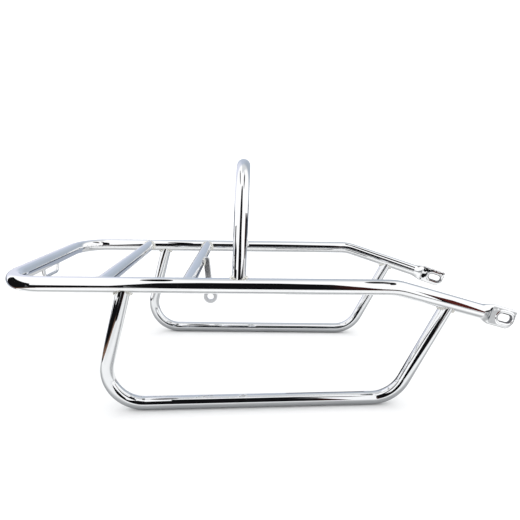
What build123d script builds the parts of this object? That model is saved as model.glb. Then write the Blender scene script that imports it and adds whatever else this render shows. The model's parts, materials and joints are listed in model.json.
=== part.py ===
from build123d import *
import os
from math import atan2, degrees, pi, radians, tan

# A chromed tubular luggage rack for the tail of a motorcycle, standing on its two side guards.
# It is drawn square to its deck: X runs forward from the rear bar, Y across, and Z = 0 is the
# plane of the rail axes. At the end the rack is set down on the floor. Millimetres and degrees.

# Tubes and welds
MAIN_TUBE = 16.0  # outer diameter of the deck hoop
SIDE_TUBE = 14.0  # outer diameter of the cross tubes, grab hoop and side guards
WELD_LEG = 2.6  # leg of the fillet welds between tubes
WELD_SEAM = 8.0  # length of each seam, across the tube that it joins

# Deck
DECK_WIDTH = 228.0  # between the rail axes
RAIL_LENGTH = 397.5  # from the rear bar's axis to the bend into the arms
REAR_CORNER_RADIUS = 40.0
REAR_CROSS_TUBE_X = 99.0
FRONT_CROSS_TUBE_X = 185.5

# Arms and their flattened, slotted ends
ARM_REACH = 112.0  # along X, from the bend to the start of the flat tab
ARM_DROP_ANGLE = 17.0
ARM_BEND_RADIUS = 50.0
FLATTENED_LENGTH = 14.0  # along the arm, from round tube to flat tab
TAB_SPACING = 187.5  # between the middles of the two tabs where they start
TAB_LENGTH = 31.5
TAB_THICKNESS = 4.0
TAB_UPPER_CORNER_RADIUS = 3.0
TAB_LOWER_CORNER_RADIUS = 11.0
SLOT_LENGTH = 17.0
SLOT_WIDTH = 8.4
SLOT_LIP = 1.1  # the edges of the slot are eased by this much on both faces
SLOT_FROM_TAB_END = 12.5  # from the end of the tab to the middle of the slot
TRIM_CLEARANCE = 0.2  # the trimmed outline passes this far outside the tab's folds

# Grab hoop
HOOP_X = 237.5
HOOP_WIDTH = 222.0  # between the axes of its legs, which stand a little inside the rails
HOOP_HEIGHT = 118.5  # from the rail axes to the axis of its top
HOOP_END_HEIGHT = 4.0  # above the rail axes, where the legs are cut off
HOOP_CORNER_RADIUS = 45.0
HOOP_LEAN = 1.8  # forward

# Side guards
GUARD_REAR_X = 124.0  # where the rear leg meets the rail's axis
GUARD_FRONT_FROM_BEND = 61.5  # along X, from the arm's bend to where the front leg meets the arm
GUARD_REAR_DEPTH = 130.0  # below the rail axes, to the axis at the rear corner
GUARD_FRONT_DEPTH = 127.0
GUARD_REAR_LEAN = 14.4  # of the legs, bottom to the rear
GUARD_FRONT_LEAN = 25.8
GUARD_CORNER_RADIUS = 38.0

# Mudguard hanger on the front cross tube
HANGER_THICKNESS = 3.5
HANGER_WIDTH = 7.6
HANGER_TOP_FORWARD = 9.2  # from the cross tube's axis to the middle of the rounded top
HANGER_TOP_RISE = 2.6
HANGER_EYE_FORWARD = 13.8
HANGER_EYE_DEPTH = 45.5
HANGER_EYE_DIAMETER = 17.6
HANGER_HOLE = 8.4
HANGER_EDGE_BEVEL = 0.8
HANGER_WELD_LEG = 1.6

# Lashing loop under the rear bar
LOOP_ROD = 4.0
LOOP_WIDTH = 34.0  # between the corner points of its axis
LOOP_DEPTH = 18.0  # from the rear bar's axis to the axis of the loop's bottom
LOOP_CORNER_RADIUS = 6.0
LOOP_LEG_LEAN = 15.0  # outward, towards the rear bar
LOOP_WELD_LEG = 1.4
LOOP_WELD_SEAM = 2.4

# The right half has negative Y
SIDES = {"right": -1, "left": 1}
rail_y = DECK_WIDTH / 2
arm_drop = tan(radians(ARM_DROP_ANGLE))
# A tube pressed flat keeps its girth: two straight sides and two round folds
tab_width = TAB_THICKNESS + pi * (MAIN_TUBE - TAB_THICKNESS) / 2


def bend_point(side):
    return Vector(RAIL_LENGTH, side * rail_y, 0)


def tab_root(side):
    return Vector(RAIL_LENGTH + ARM_REACH, side * TAB_SPACING / 2, -ARM_REACH * arm_drop)


def arm_direction(side):
    return (tab_root(side) - bend_point(side)).normalized()


def arm_point(side, forward):
    """The point on an arm's axis that lies this far along X from the bend."""
    direction = arm_direction(side)
    return bend_point(side) + direction * (forward / direction.X)


def flattening_start(side):
    return tab_root(side) - arm_direction(side) * FLATTENED_LENGTH


def tab_plane(side):
    """Middle plane of a tab: x along the arm, y up, z across the rack, origin at the tab's root."""
    direction = arm_direction(side)
    return Plane(origin=tab_root(side), x_dir=direction, z_dir=Vector(direction.Y, -direction.X, 0))


def press_plane(side, origin):
    """A plane square to an arm, with x across the rack and y up."""
    return Plane(origin, x_dir=-tab_plane(side).z_dir, z_dir=arm_direction(side))


def rod(start, end, diameter):
    """A straight round bar between two points."""
    span = Vector(end) - Vector(start)
    return extrude(Plane(start, z_dir=span) * Circle(diameter / 2), span.length)


def bent_tube(points, radii, diameter):
    """A round tube along straight runs joined by arcs."""
    path = FilletPolyline(*points, radius=radii)
    return sweep(Plane(path @ 0, z_dir=path % 0) * Circle(diameter / 2), path=path)


def saddle_weld(host, joining, joining_diameter, leg, seam):
    """Two seams in the crotches where the end of one bar joins the side of a main tube.

    Both bars are given by two points on their axes, and the joining bar starts at the host's axis.
    """
    reach = MAIN_TUBE / 2 + joining_diameter
    foot = Vector(joining[0])
    along = (Vector(joining[1]) - foot).normalized()
    tip = foot + along * reach
    across = (host[1] - host[0]).cross(along).normalized()
    crotches = extrude(Plane(foot, x_dir=across, z_dir=along) * Rectangle(seam, 4 * reach), reach)
    weld = rod(foot, tip, joining_diameter + 2 * leg) & rod(*host, MAIN_TUBE + 2 * leg) & crotches
    weld -= rod(foot, tip, joining_diameter)
    weld -= rod(*host, MAIN_TUBE)
    return weld


def tube_weld(host, joining):
    return saddle_weld(host, joining, SIDE_TUBE, WELD_LEG, WELD_SEAM)


def pressed_section(plane, fold_centre, fold_radius, fold_angle, side_edges):
    """A closed section of four edges, in the order upper fold, one side, lower fold, other side."""
    upper = CenterArc((0, fold_centre), fold_radius, 90 - fold_angle / 2, fold_angle)
    lower = CenterArc((0, -fold_centre), fold_radius, 270 - fold_angle / 2, fold_angle)
    return plane * make_face([upper, side_edges[0], lower, side_edges[1]])


def tab_section(side):
    """The cross section of a tab at its root: a tube pressed flat, with two folds as round edges."""
    half_thickness = TAB_THICKNESS / 2
    fold_centre = (tab_width - TAB_THICKNESS) / 2
    flat_sides = [
        Line((-half_thickness, fold_centre), (-half_thickness, -fold_centre)),
        Line((half_thickness, -fold_centre), (half_thickness, fold_centre)),
    ]
    plane = press_plane(side, tab_root(side))
    return pressed_section(plane, fold_centre, half_thickness, 180, flat_sides)


def round_section(side):
    """The round tube where the flattening starts, divided where the folds and flat sides begin."""
    fold_angle = 180 * TAB_THICKNESS / MAIN_TUBE
    radius = MAIN_TUBE / 2
    round_sides = [
        CenterArc((0, 0), radius, 90 + fold_angle / 2, 180 - fold_angle),
        CenterArc((0, 0), radius, 270 + fold_angle / 2, 180 - fold_angle),
    ]
    plane = press_plane(side, flattening_start(side))
    return pressed_section(plane, 0, radius, fold_angle, round_sides)


def slot_edges(blank, slot_plane):
    """The edges of a tab's slot on its two faces."""
    edges = []
    for edge in blank.edges():
        place = slot_plane.to_local_coords(edge.center())
        on_a_face = abs(place.Z) > TAB_THICKNESS / 4
        if on_a_face and Vector(place.X, place.Y).length < SLOT_LENGTH / 2:
            edges.append(edge)
    return edges


def tab(side):
    """The flat end of an arm, with shaped corners and a bolt slot with eased edges."""
    half_width = tab_width / 2 + TRIM_CLEARANCE
    corners = [(0, -half_width), (TAB_LENGTH, -half_width), (TAB_LENGTH, half_width), (0, half_width)]
    radii = [0, TAB_LOWER_CORNER_RADIUS, TAB_UPPER_CORNER_RADIUS, 0]
    outline = make_face(FilletPolyline(*corners, radius=radii, close=True))
    slot_place = Pos(TAB_LENGTH - SLOT_FROM_TAB_END, 0)
    outline -= slot_place * SlotOverall(SLOT_LENGTH, SLOT_WIDTH)
    blank = extrude(tab_section(side), TAB_LENGTH)
    blank &= extrude(tab_plane(side) * outline, TAB_THICKNESS, both=True)
    return chamfer(slot_edges(blank, Plane(tab_plane(side) * slot_place)), SLOT_LIP)


def flattening(side):
    """The stretch of an arm that turns from round tube into the flat tab."""
    return loft([round_section(side), tab_section(side)])


def deck_hoop():
    """Rear bar, rails and arms bent from one tube, with both ends pressed flat."""
    points = [
        flattening_start(-1),
        bend_point(-1),
        Vector(0, -rail_y, 0),
        Vector(0, rail_y, 0),
        bend_point(1),
        flattening_start(1),
    ]
    radii = [ARM_BEND_RADIUS, REAR_CORNER_RADIUS, REAR_CORNER_RADIUS, ARM_BEND_RADIUS]
    hoop = bent_tube(points, radii, MAIN_TUBE)
    for side in SIDES.values():
        hoop += flattening(side)
        hoop += tab(side)
    return hoop


def rail(side):
    """The axis of a rail, as two points."""
    return Vector(0, side * rail_y, 0), bend_point(side)


def cross_tube(x):
    """A straight tube between the rails, with its ends cut to sit on them."""
    tube = rod((x, -rail_y, 0), (x, rail_y, 0), SIDE_TUBE)
    for side in SIDES.values():
        tube -= rod(*rail(side), MAIN_TUBE)
    return tube


def hoop_point(side, height):
    """The point on the axis of one of the grab hoop's legs at this height above the rail axes."""
    return Vector(HOOP_X + height * tan(radians(HOOP_LEAN)), side * HOOP_WIDTH / 2, height)


def grab_hoop():
    """An upright hoop with both feet cut to sit on the rails."""
    points = [
        hoop_point(-1, HOOP_END_HEIGHT),
        hoop_point(-1, HOOP_HEIGHT),
        hoop_point(1, HOOP_HEIGHT),
        hoop_point(1, HOOP_END_HEIGHT),
    ]
    hoop = bent_tube(points, HOOP_CORNER_RADIUS, SIDE_TUBE)
    for side in SIDES.values():
        hoop -= rod(*rail(side), MAIN_TUBE)
    return hoop


def guard_points(side):
    """Corner points of a guard's axis, all in one upright plane: rail, heel, toe and arm."""
    top_rear = Vector(GUARD_REAR_X, side * rail_y, 0)
    top_front = arm_point(side, GUARD_FRONT_FROM_BEND)
    heel_x = top_rear.X - GUARD_REAR_DEPTH * tan(radians(GUARD_REAR_LEAN))
    toe_x = top_front.X - (GUARD_FRONT_DEPTH + top_front.Z) * tan(radians(GUARD_FRONT_LEAN))
    toe_in = (top_front.Y - top_rear.Y) / (top_front.X - top_rear.X)
    heel = Vector(heel_x, top_rear.Y + toe_in * (heel_x - top_rear.X), -GUARD_REAR_DEPTH)
    toe = Vector(toe_x, top_rear.Y + toe_in * (toe_x - top_rear.X), -GUARD_FRONT_DEPTH)
    return top_rear, heel, toe, top_front


def side_guard(side):
    """A bent tube from under a rail, along the floor and up to the arm."""
    guard = bent_tube(guard_points(side), GUARD_CORNER_RADIUS, SIDE_TUBE)
    guard -= rod(*rail(side), MAIN_TUBE)
    guard -= rod(bend_point(side), flattening_start(side), MAIN_TUBE)
    return guard


def hanger_outline(margin=0.0):
    """The hanger's outline seen from the side: a narrow strap from its rounded top down to the eye."""
    eye_place = Pos(HANGER_EYE_FORWARD, -HANGER_EYE_DEPTH)
    strap_end = Circle(HANGER_WIDTH / 2 + margin)
    top = Pos(HANGER_TOP_FORWARD, HANGER_TOP_RISE) * strap_end
    strap = make_hull(top.edges() + (eye_place * strap_end).edges())
    return strap + eye_place * Circle(HANGER_EYE_DIAMETER / 2 + margin)


hanger_plane = Plane((FRONT_CROSS_TUBE_X, 0, 0), x_dir=(1, 0, 0), z_dir=(0, -1, 0))


def front_cross_round(diameter):
    return rod((FRONT_CROSS_TUBE_X, -rail_y, 0), (FRONT_CROSS_TUBE_X, rail_y, 0), diameter)


def mudguard_hanger():
    """A flat strap in front of the cross tube, with bevelled edges and a bolt eye at its lower end."""
    strap = extrude(hanger_plane * hanger_outline(), HANGER_THICKNESS / 2, both=True)
    rims = strap.faces().filter_by(Axis.Y).edges()
    strap = chamfer(rims, HANGER_EDGE_BEVEL)
    hole = Pos(HANGER_EYE_FORWARD, -HANGER_EYE_DEPTH) * Circle(HANGER_HOLE / 2)
    strap -= extrude(hanger_plane * hole, HANGER_THICKNESS, both=True)
    return strap - front_cross_round(SIDE_TUBE)


def hanger_weld(hanger):
    """The seam round the strap where it sits against the cross tube."""
    half_width = HANGER_THICKNESS / 2 + HANGER_WELD_LEG
    band = extrude(hanger_plane * hanger_outline(HANGER_WELD_LEG), half_width, both=True)
    seam = band & front_cross_round(SIDE_TUBE + 2 * HANGER_WELD_LEG)
    return seam - front_cross_round(SIDE_TUBE) - hanger


def loop_points():
    """Corner points of the lashing loop's axis, from its right foot to its left foot."""
    corner_y = LOOP_WIDTH / 2
    foot_y = corner_y + LOOP_DEPTH * tan(radians(LOOP_LEG_LEAN))
    return [
        Vector(0, -foot_y, 0),
        Vector(0, -corner_y, -LOOP_DEPTH),
        Vector(0, corner_y, -LOOP_DEPTH),
        Vector(0, foot_y, 0),
    ]


rear_bar = Vector(0, -rail_y, 0), Vector(0, rail_y, 0)


def lashing_loop():
    """A rod loop under the rear bar, with its leaning legs cut to sit on the bar."""
    loop = bent_tube(loop_points(), LOOP_CORNER_RADIUS, LOOP_ROD)
    return loop - rod(*rear_bar, MAIN_TUBE)


def loop_weld(side):
    right_foot, right_corner, left_corner, left_foot = loop_points()
    leg = (left_foot, left_corner) if side > 0 else (right_foot, right_corner)
    return saddle_weld(rear_bar, leg, LOOP_ROD, LOOP_WELD_LEG, LOOP_WELD_SEAM)


pieces = {
    "deck_hoop": deck_hoop(),
    "rear_cross_tube": cross_tube(REAR_CROSS_TUBE_X),
    "front_cross_tube": cross_tube(FRONT_CROSS_TUBE_X),
    "grab_hoop": grab_hoop(),
    "mudguard_hanger": mudguard_hanger(),
    "lashing_loop": lashing_loop(),
}
pieces["weld_hanger"] = hanger_weld(pieces["mudguard_hanger"])
for name, side in SIDES.items():
    pieces[f"side_guard_{name}"] = side_guard(side)
    for cross_name, x in (("rear", REAR_CROSS_TUBE_X), ("front", FRONT_CROSS_TUBE_X)):
        cross_axis = Vector(x, side * rail_y, 0), Vector(x, 0, 0)
        pieces[f"weld_{cross_name}_cross_tube_{name}"] = tube_weld(rail(side), cross_axis)
    hoop_leg = hoop_point(side, 0), hoop_point(side, HOOP_HEIGHT)
    pieces[f"weld_grab_hoop_{name}"] = tube_weld(rail(side), hoop_leg)
    top_rear, heel, toe, top_front = guard_points(side)
    arm = bend_point(side), flattening_start(side)
    pieces[f"weld_guard_rear_{name}"] = tube_weld(rail(side), (top_rear, heel))
    pieces[f"weld_guard_front_{name}"] = tube_weld(arm, (top_front, toe))
    pieces[f"weld_lashing_loop_{name}"] = loop_weld(side)

# The rack is tilted until both guards lie level, then set on the floor with its length centred.
top_rear, heel, toe, top_front = guard_points(SIDES["right"])
tilt = Rot(0, degrees(atan2(toe.Z - heel.Z, toe.X - heel.X)), 0)
box = (tilt * pieces["deck_hoop"]).bounding_box()
floor = (tilt * Pos(heel)).position.Z - SIDE_TUBE / 2
set_down = Pos(-(box.min.X + box.max.X) / 2, 0, -floor) * tilt

os.makedirs("parts", exist_ok=True)
for name, piece in pieces.items():
    export_step(set_down * piece, f"parts/{name}.step")
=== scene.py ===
import bpy
import json
from math import cos, degrees, pi, radians, sin, sqrt
from mathutils import Matrix, Vector

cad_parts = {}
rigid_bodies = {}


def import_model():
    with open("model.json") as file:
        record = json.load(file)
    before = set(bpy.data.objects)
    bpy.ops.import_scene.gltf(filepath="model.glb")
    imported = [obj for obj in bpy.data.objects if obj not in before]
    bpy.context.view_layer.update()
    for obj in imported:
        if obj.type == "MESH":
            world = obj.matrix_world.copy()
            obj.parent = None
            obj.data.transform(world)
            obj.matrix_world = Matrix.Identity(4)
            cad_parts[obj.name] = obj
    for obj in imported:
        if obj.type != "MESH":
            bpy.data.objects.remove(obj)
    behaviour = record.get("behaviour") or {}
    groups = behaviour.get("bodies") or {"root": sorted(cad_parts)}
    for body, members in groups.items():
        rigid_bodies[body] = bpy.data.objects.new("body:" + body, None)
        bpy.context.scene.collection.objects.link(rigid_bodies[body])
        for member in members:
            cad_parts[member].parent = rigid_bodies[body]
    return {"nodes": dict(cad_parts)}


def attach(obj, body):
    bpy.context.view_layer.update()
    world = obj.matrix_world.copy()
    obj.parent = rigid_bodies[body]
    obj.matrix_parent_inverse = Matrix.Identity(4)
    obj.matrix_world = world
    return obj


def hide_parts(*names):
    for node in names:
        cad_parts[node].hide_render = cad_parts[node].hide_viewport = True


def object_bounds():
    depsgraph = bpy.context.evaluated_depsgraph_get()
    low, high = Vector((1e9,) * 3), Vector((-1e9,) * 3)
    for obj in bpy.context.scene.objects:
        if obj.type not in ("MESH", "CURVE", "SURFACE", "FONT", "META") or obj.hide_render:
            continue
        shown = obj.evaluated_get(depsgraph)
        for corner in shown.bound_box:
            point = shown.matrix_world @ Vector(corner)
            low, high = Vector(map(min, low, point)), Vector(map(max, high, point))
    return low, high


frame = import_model()
cad_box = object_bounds()


# The deck hoop is one steel tube, bent into a rear bar, two rails and two arms with pressed ends.
# It is polished and then chromed all over, so it is a mirror with the faint waves of hand polishing
# and a few hair scratches.
class Wire:
    """An output of a node that takes part in arithmetic."""

    def __init__(self, socket):
        self.socket = socket
        self.tree = socket.id_data

    @staticmethod
    def node(tree, kind, settings=None, sockets=None, out=0):
        """Adds a node, applies its settings, then fills its sockets with values or wires."""
        made = tree.nodes.new(kind)
        for key, value in (settings or {}).items():
            if key == "stops":
                for position, colour in value[2:]:
                    made.color_ramp.elements.new(position).color = colour
                for element, (position, colour) in zip(made.color_ramp.elements, sorted(value)):
                    element.position = position
                    element.color = colour
            else:
                setattr(made, key, value)
        for key, value in (sockets or {}).items():
            if isinstance(value, Wire):
                tree.links.new(value.socket, made.inputs[key])
            else:
                made.inputs[key].default_value = value
        return Wire(made.outputs[out]) if made.outputs else None

    def math(self, operation, first, second=0.0):
        return Wire.node(self.tree, "ShaderNodeMath", {"operation": operation}, {0: first, 1: second})

    def __add__(self, other):
        return self.math("ADD", self, other)

    def __radd__(self, other):
        return self.math("ADD", other, self)

    def __sub__(self, other):
        return self.math("SUBTRACT", self, other)

    def __rsub__(self, other):
        return self.math("SUBTRACT", other, self)

    def __mul__(self, other):
        return self.math("MULTIPLY", self, other)

    def __rmul__(self, other):
        return self.math("MULTIPLY", other, self)

    def __truediv__(self, other):
        return self.math("DIVIDE", self, other)

    def __abs__(self):
        return self.math("ABSOLUTE", self)

    def larger(self, other):
        return self.math("MAXIMUM", self, other)

    def clip(self, low, high):
        """Rises smoothly from 0 at low to 1 at high."""
        sockets = {"Value": self, "From Min": low, "From Max": high}
        return Wire.node(self.tree, "ShaderNodeMapRange", {"interpolation_type": "SMOOTHSTEP"}, sockets)

    def blend(self, under, over):
        """The colour under where this is 0, and the colour over where it is 1."""
        sockets = {"Factor": self, 6: under, 7: over}
        return Wire.node(self.tree, "ShaderNodeMix", {"data_type": "RGBA"}, sockets, out=2)

    def split(self):
        """The three parts of a vector."""
        parts = Wire.node(self.tree, "ShaderNodeSeparateXYZ", {}, {0: self}).socket.node.outputs
        return [Wire(parts[axis]) for axis in "XYZ"]

    def noise(self, scale, **settings):
        """Noise over a place, with features of 1 / scale metres."""
        return Wire.node(self.tree, "ShaderNodeTexNoise", {}, {"Vector": self, "Scale": scale, **settings})


def cleared(owner):
    """The empty node tree of a new material or world."""
    owner.use_nodes = True
    owner.node_tree.nodes.clear()
    return owner.node_tree


WAVE_SCALE, HAIR_SCALE, CLOUD_SCALE = 45.0, 900.0, 14.0
HAIR_DEPTH = 0.01
CLOUD_DULL_RANGE, CLOUD_TINT_RANGE, HAIR_DULL_RANGE = (0.45, 0.75), (0.4, 0.7), (0.62, 0.8)
CLOUD_DULLNESS, CLOUD_TINT = 0.8, 0.96
SLOT_PLATING, SLOT_DULLNESS = (0.16, 0.16, 0.17, 1.0), 0.3


def mirror_chrome(name, colour, polish, wave_depth, slots=None):
    """Chrome with polishing waves and hairs, and with dull plating inside any slots."""
    material = bpy.data.materials.new(name)
    tree = cleared(material)
    place = Wire.node(tree, "ShaderNodeTexCoord", out="Object")
    waves = place.noise(WAVE_SCALE, Detail=1.0)
    hairs = place.noise(HAIR_SCALE, Detail=3.0, Roughness=0.7)
    cloud = place.noise(CLOUD_SCALE, Detail=2.0)
    height = (waves + hairs * HAIR_DEPTH) * wave_depth
    rough = polish + cloud.clip(*CLOUD_DULL_RANGE) * polish * CLOUD_DULLNESS
    rough = rough + hairs.clip(*HAIR_DULL_RANGE) * polish
    clouded = [part * CLOUD_TINT for part in colour[:3]] + [1.0]
    tint = cloud.clip(*CLOUD_TINT_RANGE).blend(colour, clouded)
    if slots:
        lip_height, inside = slots(place)
        height = height + lip_height
        rough = rough + inside * SLOT_DULLNESS
        tint = inside.blend(tint, SLOT_PLATING)
    bump = {"Strength": 1.0, "Distance": 1.0, "Height": height}
    relief = Wire.node(tree, "ShaderNodeBump", {}, bump, out="Normal")
    finish = {"Base Color": tint, "Metallic": 1.0, "Roughness": rough, "Normal": relief}
    surface = Wire.node(tree, "ShaderNodeBsdfPrincipled", {}, finish)
    Wire.node(tree, "ShaderNodeOutputMaterial", {}, {"Surface": surface})
    return material


def plate(node_name, chrome):
    """Gives a piece of the frame its chrome."""
    mesh = frame["nodes"][node_name].data
    mesh.materials.clear()
    mesh.materials.append(chrome)


RAIL_RADIUS, RAIL_Y, RAIL_LENGTH = 0.008, 0.114, 0.3975
RAIL_HEIGHT = 0.13785
STAND_TILT = 0.544
REAR_BAR_X = cad_box[0][0] + RAIL_RADIUS
ARM_REACH, ARM_DROP, ARM_INSET = 0.112, 0.03424, 0.02025
SLOT_FROM_TAB_ROOT, SLOT_HALF_STRAIGHT, SLOT_HALF_WIDTH = 0.019, 0.0043, 0.0042
SLOT_LIP, LIP_WIDTH, LIP_HEIGHT, RIM_SOFTNESS = 0.0011, 0.0036, 0.0003, 0.0002
DENTS_START, DENTS_FULL, DENT_DEPTH, DENT_SCALE = 0.229, 0.241, 0.0003, 140.0
# The deck is measured forward and up from the middle of the rear bar's axis. As the rack stands, it
# slopes a little down to the front.
set_down = Matrix.Translation((REAR_BAR_X, 0, RAIL_HEIGHT)) @ Matrix.Rotation(radians(STAND_TILT), 4, "Y")
left_arm = Vector((ARM_REACH, -ARM_INSET, -ARM_DROP))
left_tab_root = Vector((RAIL_LENGTH, RAIL_Y, 0)) + left_arm
slot_middle = set_down @ (left_tab_root + left_arm.normalized() * SLOT_FROM_TAB_ROOT)
tab_along = set_down.to_3x3() @ left_arm.normalized()
tab_up = tab_along.cross(Vector((0, 0, 1)).cross(tab_along)).normalized()


def bolt_slots(place):
    """The height of the tabs' dents and of the rolled lips of their slots, and 1 inside the slots."""
    x, y, z = place.split()
    offset = (x - slot_middle.x, abs(y) - slot_middle.y, z - slot_middle.z)
    along = offset[0] * tab_along.x + offset[1] * tab_along.y + offset[2] * tab_along.z
    above = offset[0] * tab_up.x + offset[1] * tab_up.y + offset[2] * tab_up.z
    past = (abs(along) - SLOT_HALF_STRAIGHT).larger(0.0)
    distance = x.math("SQRT", past * past + above * above)
    edge = SLOT_HALF_WIDTH + SLOT_LIP
    lip = distance.clip(edge, edge + LIP_WIDTH / 2) - distance.clip(edge + LIP_WIDTH / 2, edge + LIP_WIDTH)
    dents = place.noise(DENT_SCALE, Detail=1.0) * DENT_DEPTH * x.clip(DENTS_START, DENTS_FULL)
    return lip * LIP_HEIGHT + dents, 1 - distance.clip(edge - RIM_SOFTNESS, edge)


BRIGHT_CHROME = (0.93, 0.935, 0.94, 1.0)
tube_chrome = mirror_chrome("tube_chrome", BRIGHT_CHROME, polish=0.02, wave_depth=0.00002, slots=bolt_slots)
plate("deck_hoop", tube_chrome)

# Two straight cross tubes tie the rails together. They are cut from thinner tube with saddle-shaped
# ends, and lie with their axes in the plane of the rails.
CROSS_CHROME = (0.92, 0.93, 0.94, 1.0)
cross_tube_chrome = mirror_chrome("cross_tube_chrome", CROSS_CHROME, polish=0.035, wave_depth=0.00003)
plate("rear_cross_tube", cross_tube_chrome)
plate("front_cross_tube", cross_tube_chrome)

# The grab hoop is the upright arch that a passenger or a bag leans against. It is bent from one tube
# and stands with both feet on the rails.
hoop_chrome = mirror_chrome("hoop_chrome", BRIGHT_CHROME, polish=0.02, wave_depth=0.00002)
plate("grab_hoop", hoop_chrome)

# A side guard under each rail holds the luggage off the wheel. Each is one bent tube, from the rail
# down to a straight run along the floor and up again to the arm.
# The guards' chrome colour is darker than the deck's: painted shade that greys all their reflections.
GUARD_SHADED_CHROME = (0.84, 0.85, 0.86, 1.0)
shaded_guard_chrome = mirror_chrome("shaded_guard_chrome", GUARD_SHADED_CHROME, polish=0.022, wave_depth=0.00002)
plate("side_guard_right", shaded_guard_chrome)
plate("side_guard_left", shaded_guard_chrome)

# The mudguard hanger is a flat steel strap on the front cross tube, with bevelled edges and an eye for
# one bolt. Strap steel isn't polished like the tubes, so its chrome is duller.
HANGER_CHROME = (0.80, 0.81, 0.83, 1.0)
hanger_chrome = mirror_chrome("hanger_chrome", HANGER_CHROME, polish=0.22, wave_depth=0.00004)
plate("mudguard_hanger", hanger_chrome)

# The lashing loop takes the hook of an elastic strap. It is a thin chromed rod, bent to a shallow
# bracket and welded under the middle of the rear bar.
ROD_CHROME = (0.92, 0.925, 0.93, 1.0)
rod_chrome = mirror_chrome("rod_chrome", ROD_CHROME, polish=0.03, wave_depth=0.00002)
plate("lashing_loop", rod_chrome)

# The welds are small rippled beads round the end of each tube, chromed over with the rest. They lie
# in the corner between the two tubes and are fullest in the two crotches.
RIPPLE_LEAST, RIPPLE_MOST, RIPPLE_FLATNESS = 0.8, 1.15, 0.6
RIPPLE_SIDES, RIPPLE_RINGS = 10, 6
RIPPLE_SPACING = 0.65
bead_tree = bpy.data.node_groups.new("weld_bead", "GeometryNodeTree")
bead_inputs = {}
for label, kind in (
    ("Path", "NodeSocketGeometry"),
    ("Ripple Spacing", "NodeSocketFloat"),
    ("Bead Radius", "NodeSocketFloat"),
    ("Seed", "NodeSocketInt"),
    ("Bead Chrome", "NodeSocketMaterial"),
):
    bead_inputs[label] = bead_tree.interface.new_socket(label, in_out="INPUT", socket_type=kind).identifier
bead_tree.interface.new_socket("Bead", in_out="OUTPUT", socket_type="NodeSocketGeometry")
asked = {label: Wire.node(bead_tree, "NodeGroupInput", out=label) for label in bead_inputs}
steps = Wire.node(
    bead_tree,
    "GeometryNodeCurveToPoints",
    {"mode": "LENGTH"},
    {"Curve": asked["Path"], "Length": asked["Ripple Spacing"]},
)
turned = Wire(steps.socket.node.outputs["Rotation"])
uneven = Wire.node(
    bead_tree,
    "FunctionNodeRandomValue",
    {"data_type": "FLOAT"},
    {2: RIPPLE_LEAST, 3: RIPPLE_MOST, "Seed": asked["Seed"]},
    out=1,
)
fullness = Wire.node(bead_tree, "GeometryNodeInputRadius") * asked["Bead Radius"] * uneven
size = Wire.node(
    bead_tree, "ShaderNodeCombineXYZ", {}, {0: fullness, 1: fullness, 2: fullness * RIPPLE_FLATNESS}
)
ripple = Wire.node(
    bead_tree,
    "GeometryNodeMeshUVSphere",
    {},
    {"Segments": RIPPLE_SIDES, "Rings": RIPPLE_RINGS, "Radius": 1.0},
)
row = Wire.node(
    bead_tree,
    "GeometryNodeInstanceOnPoints",
    {},
    {"Points": steps, "Instance": ripple, "Rotation": turned, "Scale": size},
)
row = Wire.node(bead_tree, "GeometryNodeSetShadeSmooth", {}, {"Geometry": row})
row = Wire.node(bead_tree, "GeometryNodeRealizeInstances", {}, {"Geometry": row})
row = Wire.node(bead_tree, "GeometryNodeSetMaterial", {}, {"Geometry": row, "Material": asked["Bead Chrome"]})
Wire.node(bead_tree, "NodeGroupOutput", {}, {"Bead": row})

BEAD_CHROME = (0.90, 0.89, 0.84, 1.0)
bead_chrome = mirror_chrome("bead_chrome", BEAD_CHROME, polish=0.09, wave_depth=0.00006)


def weld_bead(node_name, points, radius):
    """A rippled bead along a ring of points, each (place, fullness), in place of a plain weld."""
    path = bpy.data.curves.new(node_name + "_path", "CURVE")
    path.dimensions = "3D"
    spline = path.splines.new("POLY")
    spline.points.add(len(points) - 1)
    for point, (place, full) in zip(spline.points, points):
        point.co = (*(set_down @ place), 1)
        point.radius = full
    spline.use_cyclic_u = True
    tracer = bpy.data.objects.new(node_name + "_path", path)
    bpy.context.scene.collection.objects.link(tracer)
    ripples = tracer.modifiers.new("weld_bead", "NODES")
    ripples.node_group = bead_tree
    ripples[bead_inputs["Ripple Spacing"]] = radius * RIPPLE_SPACING
    ripples[bead_inputs["Bead Radius"]] = radius
    ripples[bead_inputs["Seed"]] = len(bpy.data.objects)
    ripples[bead_inputs["Bead Chrome"]] = bead_chrome
    made = bpy.data.meshes.new_from_object(tracer.evaluated_get(bpy.context.evaluated_depsgraph_get()))
    bpy.data.objects.remove(tracer)
    bead = bpy.data.objects.new("bead_" + node_name.removeprefix("weld_"), made)
    bpy.context.scene.collection.objects.link(bead)
    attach(bead, "root")
    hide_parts(node_name)


SADDLE_STEPS = 48
BEAD_OUTSET, BEAD_THINNEST = 0.25, 0.15


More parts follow.
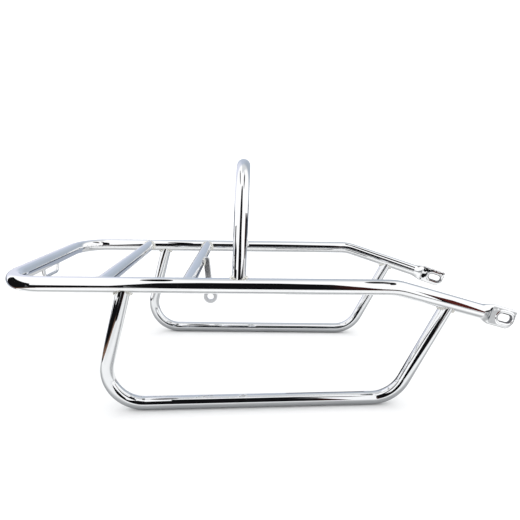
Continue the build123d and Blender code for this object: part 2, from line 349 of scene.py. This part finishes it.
def saddle_bead(node_name, host, foot, toward, bar_radius, bead_radius, cut_height=0.0):
    """The bead round a bar that stands with its end on the side of a main tube.

    The host is a point and a direction of the main tube's axis. The bar's end lies on that tube, and
    where the bar overhangs it, at the height where the bar was cut off.
    """
    host_point, host_direction = Vector(host[0]), Vector(host[1]).normalized()
    along = (Vector(toward) - Vector(foot)).normalized()
    across = host_direction.cross(along).normalized()
    level = along.cross(across)
    rising = along - host_direction * along.dot(host_direction)
    outset = bead_radius * BEAD_OUTSET
    points = []
    for step in range(SADDLE_STEPS):
        angle = 2 * pi * step / SADDLE_STEPS
        rim = Vector(foot) + (level * cos(angle) + across * sin(angle)) * (bar_radius + outset)
        start = rim - host_point
        start -= host_direction * start.dot(host_direction)
        a, b = rising.dot(rising), rising.dot(start)
        c = start.dot(start) - (RAIL_RADIUS + outset) ** 2
        climb = (sqrt(max(0.0, b * b - a * c)) - b) / a
        full = BEAD_THINNEST + (1 - BEAD_THINNEST) * cos(angle) ** 2
        points.append((rim + along * max(climb, cut_height), full))
    weld_bead(node_name, points, bead_radius)


TUBE_RADIUS, TUBE_BEAD = 0.007, 0.0021
ROD_RADIUS, ROD_BEAD = 0.002, 0.0009
CROSS_TUBE_X = {"rear": 0.099, "front": 0.1855}
HOOP_Y, HOOP_FOOT_X, HOOP_END_HEIGHT = 0.111, 0.2375, 0.004
HOOP_SHOULDER_X, HOOP_SHOULDER_HEIGHT = 0.2412, 0.1185
GUARD_REAR_X = 0.124
GUARD_HEEL_X, GUARD_HEEL_Y, GUARD_HEEL_DROP = 0.09062, 0.11511, 0.130
GUARD_FRONT_X, GUARD_FRONT_Y, GUARD_FRONT_DROP = 0.459, 0.10288, 0.0188
GUARD_TOE_X, GUARD_TOE_Y, GUARD_TOE_DROP = 0.4067, 0.10462, 0.127
LOOP_FOOT_Y, LOOP_BEND_Y, LOOP_BEND_DROP = 0.02182, 0.017, 0.018
for name, side in (("right", -1), ("left", 1)):
    rail = (0, side * RAIL_Y, 0), (1, 0, 0)
    for cross_name, cross_x in CROSS_TUBE_X.items():
        foot, toward = (cross_x, side * RAIL_Y, 0), (cross_x, 0, 0)
        saddle_bead(f"weld_{cross_name}_cross_tube_{name}", rail, foot, toward, TUBE_RADIUS, TUBE_BEAD)
    foot = HOOP_FOOT_X, side * HOOP_Y, 0
    toward = HOOP_SHOULDER_X, side * HOOP_Y, HOOP_SHOULDER_HEIGHT
    saddle_bead(f"weld_grab_hoop_{name}", rail, foot, toward, TUBE_RADIUS, TUBE_BEAD, HOOP_END_HEIGHT)
    foot = GUARD_REAR_X, side * RAIL_Y, 0
    toward = GUARD_HEEL_X, side * GUARD_HEEL_Y, -GUARD_HEEL_DROP
    saddle_bead(f"weld_guard_rear_{name}", rail, foot, toward, TUBE_RADIUS, TUBE_BEAD)
    foot = GUARD_FRONT_X, side * GUARD_FRONT_Y, -GUARD_FRONT_DROP
    toward = GUARD_TOE_X, side * GUARD_TOE_Y, -GUARD_TOE_DROP
    arm = foot, (ARM_REACH, -side * ARM_INSET, -ARM_DROP)
    saddle_bead(f"weld_guard_front_{name}", arm, foot, toward, TUBE_RADIUS, TUBE_BEAD)
    foot, toward = (0, side * LOOP_FOOT_Y, 0), (0, side * LOOP_BEND_Y, -LOOP_BEND_DROP)
    rear_bar = foot, (0, 1, 0)
    saddle_bead(f"weld_lashing_loop_{name}", rear_bar, foot, toward, ROD_RADIUS, ROD_BEAD)

HANGER_HALF_WIDTH, HANGER_BEAD, SEAM_OUTSET = 0.00175, 0.0011, 0.0003
SEAM_LOWEST, SEAM_HIGHEST, SEAM_STEP = -33, 36, 3
seam_angles = range(SEAM_LOWEST, SEAM_HIGHEST + 1, SEAM_STEP)
hanger_seam = []
for side, angles in ((-1, seam_angles), (1, reversed(seam_angles))):
    for angle in angles:
        seam_x = CROSS_TUBE_X["front"] + (TUBE_RADIUS + SEAM_OUTSET) * cos(radians(angle))
        seam_z = (TUBE_RADIUS + SEAM_OUTSET) * sin(radians(angle))
        hanger_seam.append((Vector((seam_x, side * (HANGER_HALF_WIDTH + SEAM_OUTSET), seam_z)), 1.0))
weld_bead("weld_hanger", hanger_seam, HANGER_BEAD)

# The rack stands on a sheet of white paper. In the chrome only, the sheet carries painted shade: it is greyer
# beside the guards and towards its front, near and far edges. Past its edges the chrome mirrors the room
# instead.
FLOOR_REACH, FLOOR_CORNERS = 3.0, ((-1, -1), (1, -1), (1, 1), (-1, 1))
SHEET_LEFT, SHEET_RIGHT, SHEET_NEAR, SHEET_FAR = -0.41, 0.62, -0.38, 0.24
SHEET_EDGE, SHEET_STEP, SHEET_STEP_X = 0.01, 0.05, (-0.20, -0.10)
PAPER_WHITE, PAPER_SHADE = (0.93, 0.935, 0.94, 1), (0.0, 0.01, 0.02, 1)
OPEN_SHADE = 0.08
GUARD_LINE, GUARD_SHADE, GUARD_SHADE_REACH = 0.110, 0.52, (0.008, 0.07)
FRONT_SHADE, FRONT_SHADE_X = 0.36, (0.36, 0.46)
NEAR_SHADE, NEAR_SHADE_Y = 0.12, (-0.30, -0.22)
FAR_SHADE, FAR_SHADE_Y = 0.46, (-0.02, 0.10)
sheet_mesh = bpy.data.meshes.new("white_sheet")
sheet_mesh.from_pydata([(a * FLOOR_REACH, b * FLOOR_REACH, 0) for a, b in FLOOR_CORNERS], [], [(0, 1, 2, 3)])
white_sheet = bpy.data.objects.new("white_sheet", sheet_mesh)
bpy.context.scene.collection.objects.link(white_sheet)
sheet_paper = bpy.data.materials.new("sheet_paper")
tree = cleared(sheet_paper)
x, y = Wire.node(tree, "ShaderNodeTexCoord", out="Object").split()[:2]
on_sheet = x.clip(SHEET_LEFT - SHEET_EDGE, SHEET_LEFT) * (1 - x.clip(SHEET_RIGHT, SHEET_RIGHT + SHEET_EDGE))
near_edge = SHEET_NEAR + SHEET_STEP * x.clip(*SHEET_STEP_X)
on_sheet = on_sheet * y.clip(near_edge - SHEET_EDGE, near_edge)
on_sheet = on_sheet * (1 - y.clip(SHEET_FAR, SHEET_FAR + SHEET_EDGE))
beside_guard = abs(abs(y) - GUARD_LINE)
# Painted shade, seen only in the chrome: darkest along the guards' floor lines, lighter away from them.
shade = OPEN_SHADE + GUARD_SHADE * (1 - beside_guard.clip(*GUARD_SHADE_REACH))
shade = shade + FRONT_SHADE * x.clip(*FRONT_SHADE_X) + NEAR_SHADE * (1 - y.clip(*NEAR_SHADE_Y))
mirrored = Wire.node(tree, "ShaderNodeLightPath", out="Is Glossy Ray")
shade = mirrored * shade.larger(FAR_SHADE * y.clip(*FAR_SHADE_Y))
paper = Wire.node(tree, "ShaderNodeBsdfDiffuse", {}, {"Color": shade.blend(PAPER_WHITE, PAPER_SHADE)})
beyond = Wire.node(tree, "ShaderNodeBsdfTransparent", {}, {"Color": (1, 1, 1, 1)})
paper = Wire.node(tree, "ShaderNodeMixShader", {}, {0: mirrored * (1 - on_sheet), 1: paper, 2: beyond})
Wire.node(tree, "ShaderNodeOutputMaterial", {}, {"Surface": paper})
sheet_mesh.materials.append(sheet_paper)

# Dark screens stand and hang round the rack and under its deck, and one lies overhead as the back of
# a lamp. They show only in the chrome, where each gives one or two tubes their dark streaks.
SCREEN_BLACK, FOOT_FADE = (0.006, 0.006, 0.007, 1), 0.015


def dark_screen(name, corners, faces=None, foot_colour=SCREEN_BLACK, foot_top=0.0):
    """A black screen, with a foot of any colour, in one face unless its faces are given."""
    mesh = bpy.data.meshes.new(name)
    mesh.from_pydata(corners, [], faces or [range(len(corners))])
    screen = bpy.data.objects.new(name, mesh)
    bpy.context.scene.collection.objects.link(screen)
    screen.visible_camera = False
    screen.visible_diffuse = False
    screen.visible_shadow = False
    cloth = bpy.data.materials.new(name + "_cloth")
    tree = cleared(cloth)
    height = Wire.node(tree, "ShaderNodeTexCoord", out="Object").split()[2]
    colour = height.clip(foot_top, foot_top + FOOT_FADE).blend(foot_colour, SCREEN_BLACK)
    glow = Wire.node(tree, "ShaderNodeEmission", {}, {"Color": colour, "Strength": 1.0})
    Wire.node(tree, "ShaderNodeOutputMaterial", {}, {"Surface": glow})
    mesh.materials.append(cloth)


def standing(start, end, bottom, top):
    """The corners of a screen that stands upright between two places."""
    return [(*start, bottom), (*end, bottom), (*end, top), (*start, top)]


ARC_CENTRE, ARC_RADIUS = Vector((-0.10, -0.10, 0)), 0.30
ARC_TURNS, ARC_TALL_TO = range(-98, -25, 6), -62
ARC_BOTTOM, ARC_TOP, ARC_TALL_TOP = 0.010, 0.085, 0.100
ARC_FOOT_BROWN, ARC_FOOT_TOP = (0.22, 0.13, 0.09, 1), 0.02
arc_corners = []
for arc_turn in ARC_TURNS:
    edge = ARC_CENTRE + ARC_RADIUS * Vector((sin(radians(arc_turn)), -cos(radians(arc_turn)), 0))
    top = ARC_TALL_TOP if arc_turn < ARC_TALL_TO else ARC_TOP
    arc_corners += [(edge.x, edge.y, ARC_BOTTOM), (edge.x, edge.y, top)]
arc_faces = [(2 * n, 2 * n + 2, 2 * n + 3, 2 * n + 1) for n in range(len(ARC_TURNS) - 1)]
dark_screen("low_screen", arc_corners, arc_faces, ARC_FOOT_BROWN, ARC_FOOT_TOP)

CORNER_FLAG_START, CORNER_FLAG_END, CORNER_FLAG_HEIGHTS = (-0.30, -0.088), (-0.30, -0.20), (0.120, 0.172)
dark_screen("corner_flag", standing(CORNER_FLAG_START, CORNER_FLAG_END, *CORNER_FLAG_HEIGHTS))

RAIL_FLAG_Y = -0.20
RAIL_FLAG_OUTLINE = [(-0.33, 0.106), (-0.165, 0.110), (-0.165, 0.141), (-0.33, 0.144)]
dark_screen("rail_flag", [(x, RAIL_FLAG_Y, z) for x, z in RAIL_FLAG_OUTLINE])

LEG_FLAG_Y = -0.38
LEG_FLAG_OUTLINE = [
    (-0.09, 0.008), (0.115, 0.008), (0.115, 0.10), (0.06, 0.14), (-0.03, 0.135), (-0.09, 0.07),
]
dark_screen("leg_flag", [(x, LEG_FLAG_Y, z) for x, z in LEG_FLAG_OUTLINE])

ARM_FLAG_START, ARM_FLAG_END, RED_FLAG_END = (0.293, -0.222), (0.300, -0.210), (0.326, -0.167)
ARM_FLAG_BOTTOM, ARM_FLAG_TOP = 0.078, 0.178
DARK_RED = (0.085, 0.016, 0.012, 1)
dark_screen("arm_flag", standing(ARM_FLAG_START, ARM_FLAG_END, ARM_FLAG_BOTTOM, ARM_FLAG_TOP))
red_corners = standing(ARM_FLAG_END, RED_FLAG_END, ARM_FLAG_BOTTOM, ARM_FLAG_TOP)
dark_screen("red_flag", red_corners, foot_colour=DARK_RED, foot_top=ARM_FLAG_TOP)

GUARD_FLAG_HEIGHT = 0.118
GUARD_FLAG_OUTLINE = [(-0.115, -0.152), (0.05, -0.152), (0.15, -0.180), (0.13, -0.20), (-0.115, -0.20)]
dark_screen("guard_flag", [(x, y, GUARD_FLAG_HEIGHT) for x, y in GUARD_FLAG_OUTLINE])

INNER_FLAG_START, INNER_FLAG_END, INNER_FLAG_HEIGHTS = (0.03, 0.0), (0.135, 0.0), (0.018, 0.060)
dark_screen("inner_flag", standing(INNER_FLAG_START, INNER_FLAG_END, *INNER_FLAG_HEIGHTS))

LAMP_PLACE, LAMP_HALF_WIDTH, LAMP_HALF_LENGTH = Vector((-0.188, -0.11, 0.531)), 0.031, 0.138
LAMP_CORNERS = 32
lamp_corners = []
for corner in range(LAMP_CORNERS):
    angle = 2 * pi * corner / LAMP_CORNERS
    lamp_corners.append(LAMP_PLACE + Vector((LAMP_HALF_WIDTH * cos(angle), LAMP_HALF_LENGTH * sin(angle), 0)))
dark_screen("lamp_back", lamp_corners)

# The room gives plain white light from all sides. In the chrome it also has a white ceiling with two
# dark lamps, white panels, a lilac wall with a dark foot behind the rack, a brown floor, and the dark
# gap between the panels where the camera stands. Edges are soft, from the first value to the second.
CEILING_WHITE, CEILING_GREY = (1.18, 1.18, 1.19, 1), (0.72, 0.74, 0.76, 1)
CEILING_GREY_OVER, CEILING_GREY_X = (76, 92), (-0.24, -0.12)
FLOOR_BROWN, FLOOR_BLACK, FLOOR_BLACK_RISE = (0.20, 0.095, 0.055, 1), (0.010, 0.009, 0.010, 1), (-36, -22)
HORIZON = -0.6, 0.6
PANEL_WHITE = (1.12, 1.12, 1.13, 1)
PANEL_GAP, PANEL_FOOT, PANEL_FRONT, PANEL_REAR = (13, 17), (-17, -14), (70, 76), (-56, -48)
LOW_PANEL_GAP, LOW_PANEL_FOOT, LOW_PANEL_END = (44, 52), (-9, -7), (120, 140)
WALL_Y, WALL_TOP, WALL_BOTTOM = (0.42, 0.70), (48, 76), (-5, -3)
WALL_LILAC, WALL_BLUE, WALL_GREY = (0.78, 0.80, 0.92, 1), (0.52, 0.58, 0.69, 1), (0.42, 0.47, 0.54, 1)
WALL_BLUE_X, WALL_GREY_X = (-0.45, -0.1), (-0.1, 0.4)
FAR_FLOOR, SKIRTING = (0.37, 0.41, 0.49, 1), (0.10, 0.12, 0.16, 1)
SKIRTING_BOTTOM, SKIRTING_TOP = (-13, -10), (-4, -1)
GAP_RED, GAP_RED_X = (0.045, 0.012, 0.010, 1), (0.18, 0.26)
GAP_FOOT_EDGE, GAP_TOP_EDGE = 1.5, 2
GAP_FOOT = [
    (-0.6, -20), (-0.3, -11), (-0.2, -19), (-0.12, -34),
    (0.12, -36), (0.25, -34), (0.34, -24), (0.38, -24),
]
GAP_TOP = [
    (-0.34, -30), (-0.3, 4), (-0.2, 46), (-0.1, 56),
    (0.08, 58), (0.2, 46), (0.26, 14), (0.31, -18), (0.38, -34),
]
PROFILE_REACH, PROFILE_LOWEST, PROFILE_SPAN = 0.6, -40.0, 140.0
FRONT_LAMP, FRONT_LAMP_HALF = (0.30, 86), (0.028, 17)
ARM_LAMP, ARM_LAMP_HALF = (0.41, 72), (0.10, 22)
LAMP_RIM = 0.75, 1.15
PLAIN_WHITE, PLAIN_STRENGTH = (1, 1, 1, 1), 1.28
room = bpy.data.worlds.new("bright_room")
bpy.context.scene.world = room
tree = cleared(room)


def profile(across, heights):
    """A height in degrees that follows (place, height) pairs from one side to the other."""
    stops = []
    for place, height in heights:
        grey = (height - PROFILE_LOWEST) / PROFILE_SPAN
        stops.append(((place + PROFILE_REACH) / (2 * PROFILE_REACH), (grey, grey, grey, 1.0)))
    share = (across + PROFILE_REACH) / (2 * PROFILE_REACH)
    ramp = Wire.node(across.tree, "ShaderNodeValToRGB", {"stops": stops}, {"Fac": share})
    return ramp * PROFILE_SPAN + PROFILE_LOWEST


def lamp(across, up, centre, half):
    """1 inside an ellipse and 0 outside it."""
    a = (across - centre[0]) / half[0]
    b = (up - centre[1]) / half[1]
    return 1 - (a * a + b * b).clip(*LAMP_RIM)


# In degrees, rise is above the horizon, turn is round from the near side, and over is up from the
# near side and over to the wall.
x, y, z = Wire.node(tree, "ShaderNodeTexCoord", out="Generated").split()
rise = z.math("ARCSINE", z) * degrees(1)
turn = x.math("ARCTAN2", x, y * -1) * degrees(1)
over = z.math("ARCTAN2", z, y * -1) * degrees(1)

floor_boards = rise.clip(*FLOOR_BLACK_RISE).blend(FLOOR_BROWN, FLOOR_BLACK)
ceiling = (over.clip(*CEILING_GREY_OVER) * x.clip(*CEILING_GREY_X)).blend(CEILING_WHITE, CEILING_GREY)
light = rise.clip(*HORIZON).blend(floor_boards, ceiling)

aside = abs(turn)
tall_panels = aside.clip(*PANEL_GAP) * rise.clip(*PANEL_FOOT)
tall_panels = tall_panels * (1 - turn.clip(*PANEL_FRONT)) * turn.clip(*PANEL_REAR)
low_panels = aside.clip(*LOW_PANEL_GAP) * (1 - aside.clip(*LOW_PANEL_END)) * rise.clip(*LOW_PANEL_FOOT)
light = tall_panels.larger(low_panels).blend(light, PANEL_WHITE)

behind = y.clip(*WALL_Y)
wall = x.clip(*WALL_BLUE_X).blend(WALL_LILAC, WALL_BLUE)
wall = x.clip(*WALL_GREY_X).blend(wall, WALL_GREY)
light = (behind * (1 - rise.clip(*WALL_TOP))).blend(light, wall)
light = (behind * (1 - rise.clip(*WALL_BOTTOM))).blend(light, FAR_FLOOR)
skirting = behind * rise.clip(*SKIRTING_BOTTOM) * (1 - rise.clip(*SKIRTING_TOP))
light = skirting.blend(light, SKIRTING)

gap_foot, gap_top = profile(x, GAP_FOOT), profile(x, GAP_TOP)
gap = over.clip(gap_foot - GAP_FOOT_EDGE, gap_foot + GAP_FOOT_EDGE)
gap = gap * (1 - over.clip(gap_top - GAP_TOP_EDGE, gap_top + GAP_TOP_EDGE))
gap_colour = x.clip(*GAP_RED_X).blend(SCREEN_BLACK, GAP_RED)
light = gap.blend(light, gap_colour)
lamps = lamp(x, over, FRONT_LAMP, FRONT_LAMP_HALF).larger(lamp(x, over, ARM_LAMP, ARM_LAMP_HALF))
light = lamps.blend(light, SCREEN_BLACK)

mirrored = Wire.node(tree, "ShaderNodeBackground", {}, {"Color": light, "Strength": 1.0})
plain = Wire.node(tree, "ShaderNodeBackground", {}, {"Color": PLAIN_WHITE, "Strength": PLAIN_STRENGTH})
glint = Wire.node(tree, "ShaderNodeLightPath", out="Is Glossy Ray")
surroundings = Wire.node(tree, "ShaderNodeMixShader", {}, {0: glint, 1: plain, 2: mirrored})
Wire.node(tree, "ShaderNodeOutputWorld", {}, {"Surface": surroundings})
bpy.context.scene.view_settings.view_transform = "Standard"

# The camera stands before the rack's right side, a little above the deck and looking down. It is
# close, so the near side is drawn clearly larger than the far side.
CAMERA_PLACE = Vector((-0.01893, -0.53134, 0.25076))
PITCH, YAW, ROLL = radians(11.960), radians(1.507), radians(0.407)
LENS_MM, SENSOR_MM, NEAREST = 29.769, 36.0, 0.01
ahead = Vector((sin(YAW) * cos(PITCH), cos(YAW) * cos(PITCH), -sin(PITCH)))
level = Vector((cos(YAW), -sin(YAW), 0))
upright = level.cross(ahead)
camera_right = level * cos(ROLL) + upright * sin(ROLL)
camera_top = upright * cos(ROLL) - level * sin(ROLL)
lens = bpy.data.cameras.new("side_view")
lens.lens = LENS_MM
lens.sensor_width = SENSOR_MM
lens.clip_start = NEAREST
camera = bpy.data.objects.new("side_view", lens)
facing = Matrix((camera_right, camera_top, -ahead)).transposed().to_4x4()
camera.matrix_world = Matrix.Translation(CAMERA_PLACE) @ facing
bpy.context.scene.collection.objects.link(camera)
bpy.context.scene.camera = camera
